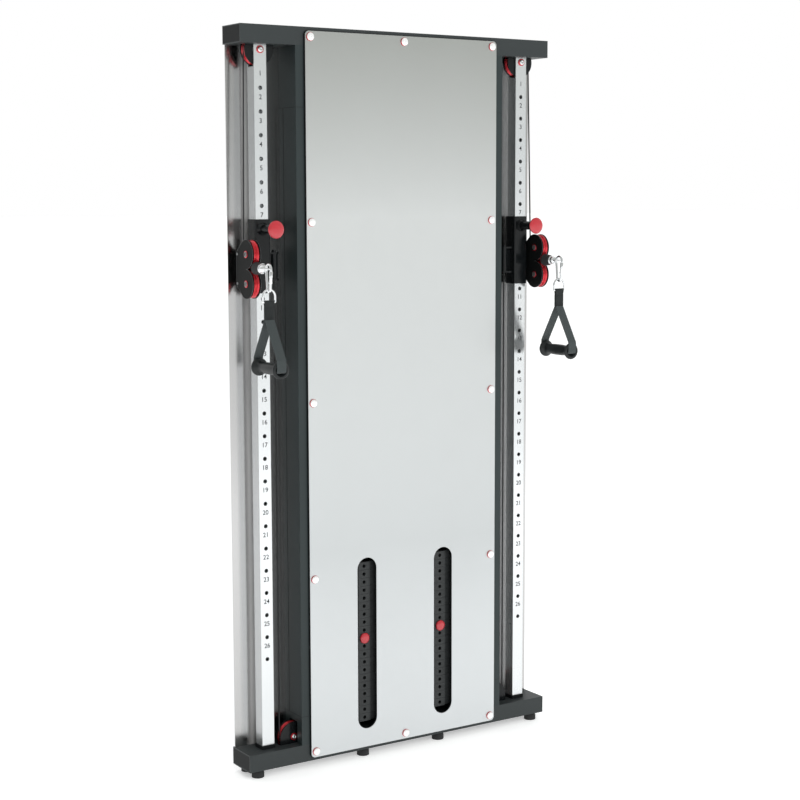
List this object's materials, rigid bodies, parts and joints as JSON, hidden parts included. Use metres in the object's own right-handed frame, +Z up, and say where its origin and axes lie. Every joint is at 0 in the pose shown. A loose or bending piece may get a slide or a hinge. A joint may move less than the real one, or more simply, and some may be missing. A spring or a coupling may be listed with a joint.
{
  "type": "dual adjustable pulley machine",
  "caption": "Tall wall pulley machine: two columns with sliding pulley carriages and hand grips beside a polished panel that covers two selector weight stacks.",
  "frame": {"origin": "on the floor under the middle of the machine, halfway between the front of the hanging handles and the back of the beams", "axes": "+Z up, +X to the right as seen by the user, +Y away from the user towards the wall"},
  "size_m": [1.09, 0.2814, 2.2],
  "materials": {
    "frame_paint": "fine textured charcoal powder coat",
    "mirror": "satin mirror steel",
    "black_board": "matt black",
    "chrome": "bright plated",
    "rubber": "matt",
    "red_anodised": "satin red anodised",
    "red_plastic": "moulded red",
    "black_steel": "satin black",
    "plate_paint": "satin dark grey",
    "steel": "brushed",
    "cable_coat": "black nylon coat",
    "webbing": "black woven webbing",
    "grip_plastic": "dark grey moulded"
  },
  "bodies": {
    "frame": {"base_beam": "frame_paint", "top_beam": "frame_paint", "end_caps": "rubber", "feet": "rubber", "housing": "frame_paint", "rear_side_panels": "mirror", "panel_backing": "black_board", "mirror_panel": "mirror", "stud_collars": "red_anodised", "stud_caps": "chrome", "columns": "chrome", "guide_rods": "chrome", "rod_bumpers": "rubber", "lower_plates": "plate_paint", "pulley_guards": "black_steel", "axle_bolts": "chrome", "axle_rings": "red_anodised", "fixed_cables": "cable_coat", "outer_cable_left": "cable_coat", "inner_cable_left": "cable_coat", "lift_cables_left": "cable_coat", "outer_cable_right": "cable_coat", "inner_cable_right": "cable_coat", "lift_cables_right": "cable_coat"},
    "carriage_left": {"carriage_left": "black_steel", "block_left": "black_steel", "block_bolts_left": "chrome", "cable_stop_left": "rubber"},
    "pop_pin_left": {"pop_pin_left": "red_anodised"},
    "block_pulley_upper_left": {"block_pulley_upper_left": "red_plastic"},
    "block_pulley_lower_left": {"block_pulley_lower_left": "red_plastic"},
    "handle_left": {"carabiner_left": "chrome", "strap_left": "webbing"},
    "grip_left": {"grip_left": "grip_plastic"},
    "top_pulley_left": {"top_pulley_left": "red_plastic"},
    "bottom_pulley_left": {"bottom_pulley_left": "red_plastic"},
    "beam_pulley_left": {"beam_pulley_left": "red_plastic"},
    "return_pulley_left": {"return_pulley_left": "red_plastic"},
    "stack_left": {"upper_plates_left": "plate_paint", "stem_left": "steel"},
    "float_pulley_left": {"float_pulley_left": "red_plastic"},
    "selector_pin_left": {"selector_pin_left": "red_plastic"},
    "carriage_right": {"carriage_right": "black_steel", "block_right": "black_steel", "block_bolts_right": "chrome", "cable_stop_right": "rubber"},
    "pop_pin_right": {"pop_pin_right": "red_anodised"},
    "block_pulley_upper_right": {"block_pulley_upper_right": "red_plastic"},
    "block_pulley_lower_right": {"block_pulley_lower_right": "red_plastic"},
    "handle_right": {"carabiner_right": "chrome", "strap_right": "webbing"},
    "grip_right": {"grip_right": "grip_plastic"},
    "top_pulley_right": {"top_pulley_right": "red_plastic"},
    "bottom_pulley_right": {"bottom_pulley_right": "red_plastic"},
    "beam_pulley_right": {"beam_pulley_right": "red_plastic"},
    "return_pulley_right": {"return_pulley_right": "red_plastic"},
    "stack_right": {"upper_plates_right": "plate_paint", "stem_right": "steel"},
    "float_pulley_right": {"float_pulley_right": "red_plastic"},
    "selector_pin_right": {"selector_pin_right": "red_plastic"}
  },
  "joints": [
    {"name": "carriage_slide_left", "type": "slide", "parent": "frame", "child": "carriage_left", "axis": [0, 0, 1], "range_m": [-1.206, 0.402], "deforming": ["outer_cable_left", "inner_cable_left"]},
    {"name": "pop_pin_slide_left", "type": "slide", "parent": "carriage_left", "child": "pop_pin_left", "axis": [0, -1, 0], "range_m": [-0.008, 0]},
    {"name": "block_pulley_upper_spin_left", "type": "hinge", "parent": "carriage_left", "child": "block_pulley_upper_left", "pos_m": [-0.518, 0.04165, 1.5525], "axis": [1, 0, 0], "continuous": true},
    {"name": "block_pulley_lower_spin_left", "type": "hinge", "parent": "carriage_left", "child": "block_pulley_lower_left", "pos_m": [-0.518, 0.04165, 1.4675], "axis": [1, 0, 0], "continuous": true},
    {"name": "handle_swing_left", "type": "hinge", "parent": "carriage_left", "child": "handle_left", "pos_m": [-0.518, -0.06935, 1.514], "axis": [-1, 0, 0], "range_deg": [0, 120]},
    {"name": "grip_spin_left", "type": "hinge", "parent": "handle_left", "child": "grip_left", "pos_m": [-0.518, -0.06935, 1.23355], "axis": [0, 1, 0], "continuous": true},
    {"name": "top_pulley_spin_left", "type": "hinge", "parent": "frame", "child": "top_pulley_left", "pos_m": [-0.465, 0.08515, 2.133], "axis": [0, 1, 0], "continuous": true},
    {"name": "bottom_pulley_spin_left", "type": "hinge", "parent": "frame", "child": "bottom_pulley_left", "pos_m": [-0.375, 0.08515, 0.095], "axis": [0, 1, 0], "continuous": true},
    {"name": "beam_pulley_spin_left", "type": "hinge", "parent": "frame", "child": "beam_pulley_left", "pos_m": [-0.14, 0.08515, 2.133], "axis": [0, 1, 0], "continuous": true},
    {"name": "return_pulley_spin_left", "type": "hinge", "parent": "frame", "child": "return_pulley_left", "pos_m": [-0.258, 0.08515, 2.03], "axis": [0, 1, 0], "continuous": true},
    {"name": "stack_lift_left", "type": "slide", "parent": "frame", "child": "stack_left", "axis": [0, 0, 1], "range_m": [0, 1.1], "deforming": ["lift_cables_left"]},
    {"name": "float_pulley_spin_left", "type": "hinge", "parent": "stack_left", "child": "float_pulley_left", "pos_m": [-0.14, 0.08515, 0.68075], "axis": [0, 1, 0], "continuous": true},
    {"name": "selector_pin_slide_left", "type": "slide", "parent": "stack_left", "child": "selector_pin_left", "axis": [0, 1, 0], "range_m": [-0.075, 0]},
    {"name": "carriage_slide_right", "type": "slide", "parent": "frame", "child": "carriage_right", "axis": [0, 0, 1], "range_m": [-1.206, 0.402], "deforming": ["outer_cable_right", "inner_cable_right"]},
    {"name": "pop_pin_slide_right", "type": "slide", "parent": "carriage_right", "child": "pop_pin_right", "axis": [0, -1, 0], "range_m": [-0.008, 0]},
    {"name": "block_pulley_upper_spin_right", "type": "hinge", "parent": "carriage_right", "child": "block_pulley_upper_right", "pos_m": [0.518, 0.04165, 1.5525], "axis": [1, 0, 0], "continuous": true},
    {"name": "block_pulley_lower_spin_right", "type": "hinge", "parent": "carriage_right", "child": "block_pulley_lower_right", "pos_m": [0.518, 0.04165, 1.4675], "axis": [1, 0, 0], "continuous": true},
    {"name": "handle_swing_right", "type": "hinge", "parent": "carriage_right", "child": "handle_right", "pos_m": [0.518, -0.06935, 1.514], "axis": [-1, 0, 0], "range_deg": [0, 120]},
    {"name": "grip_spin_right", "type": "hinge", "parent": "handle_right", "child": "grip_right", "pos_m": [0.518, -0.06935, 1.23355], "axis": [0, 1, 0], "continuous": true},
    {"name": "top_pulley_spin_right", "type": "hinge", "parent": "frame", "child": "top_pulley_right", "pos_m": [0.465, 0.08515, 2.133], "axis": [0, 1, 0], "continuous": true},
    {"name": "bottom_pulley_spin_right", "type": "hinge", "parent": "frame", "child": "bottom_pulley_right", "pos_m": [0.375, 0.08515, 0.095], "axis": [0, 1, 0], "continuous": true},
    {"name": "beam_pulley_spin_right", "type": "hinge", "parent": "frame", "child": "beam_pulley_right", "pos_m": [0.14, 0.08515, 2.133], "axis": [0, 1, 0], "continuous": true},
    {"name": "return_pulley_spin_right", "type": "hinge", "parent": "frame", "child": "return_pulley_right", "pos_m": [0.258, 0.08515, 2.03], "axis": [0, 1, 0], "continuous": true},
    {"name": "stack_lift_right", "type": "slide", "parent": "frame", "child": "stack_right", "axis": [0, 0, 1], "range_m": [0, 1.1], "deforming": ["lift_cables_right"]},
    {"name": "float_pulley_spin_right", "type": "hinge", "parent": "stack_right", "child": "float_pulley_right", "pos_m": [0.14, 0.08515, 0.68075], "axis": [0, 1, 0], "continuous": true},
    {"name": "selector_pin_slide_right", "type": "slide", "parent": "stack_right", "child": "selector_pin_right", "axis": [0, 1, 0], "range_m": [-0.075, 0]}
  ],
  "couplings": [
    {"joint": "top_pulley_spin_left", "follows": "stack_lift_left", "rad_per_m": -47.059},
    {"joint": "beam_pulley_spin_left", "follows": "stack_lift_left", "rad_per_m": -47.059},
    {"joint": "float_pulley_spin_left", "follows": "stack_lift_left", "rad_per_m": -23.529},
    {"joint": "block_pulley_upper_spin_left", "follows": "stack_lift_left", "rad_per_m": -51.948},
    {"joint": "return_pulley_spin_left", "follows": "carriage_slide_left", "rad_per_m": -13.245},
    {"joint": "bottom_pulley_spin_left", "follows": "carriage_slide_left", "rad_per_m": 24.096},
    {"joint": "top_pulley_spin_right", "follows": "stack_lift_right", "rad_per_m": 47.059},
    {"joint": "beam_pulley_spin_right", "follows": "stack_lift_right", "rad_per_m": 47.059},
    {"joint": "float_pulley_spin_right", "follows": "stack_lift_right", "rad_per_m": 23.529},
    {"joint": "block_pulley_upper_spin_right", "follows": "stack_lift_right", "rad_per_m": -51.948},
    {"joint": "return_pulley_spin_right", "follows": "carriage_slide_right", "rad_per_m": 13.245},
    {"joint": "bottom_pulley_spin_right", "follows": "carriage_slide_right", "rad_per_m": -24.096}
  ]
}
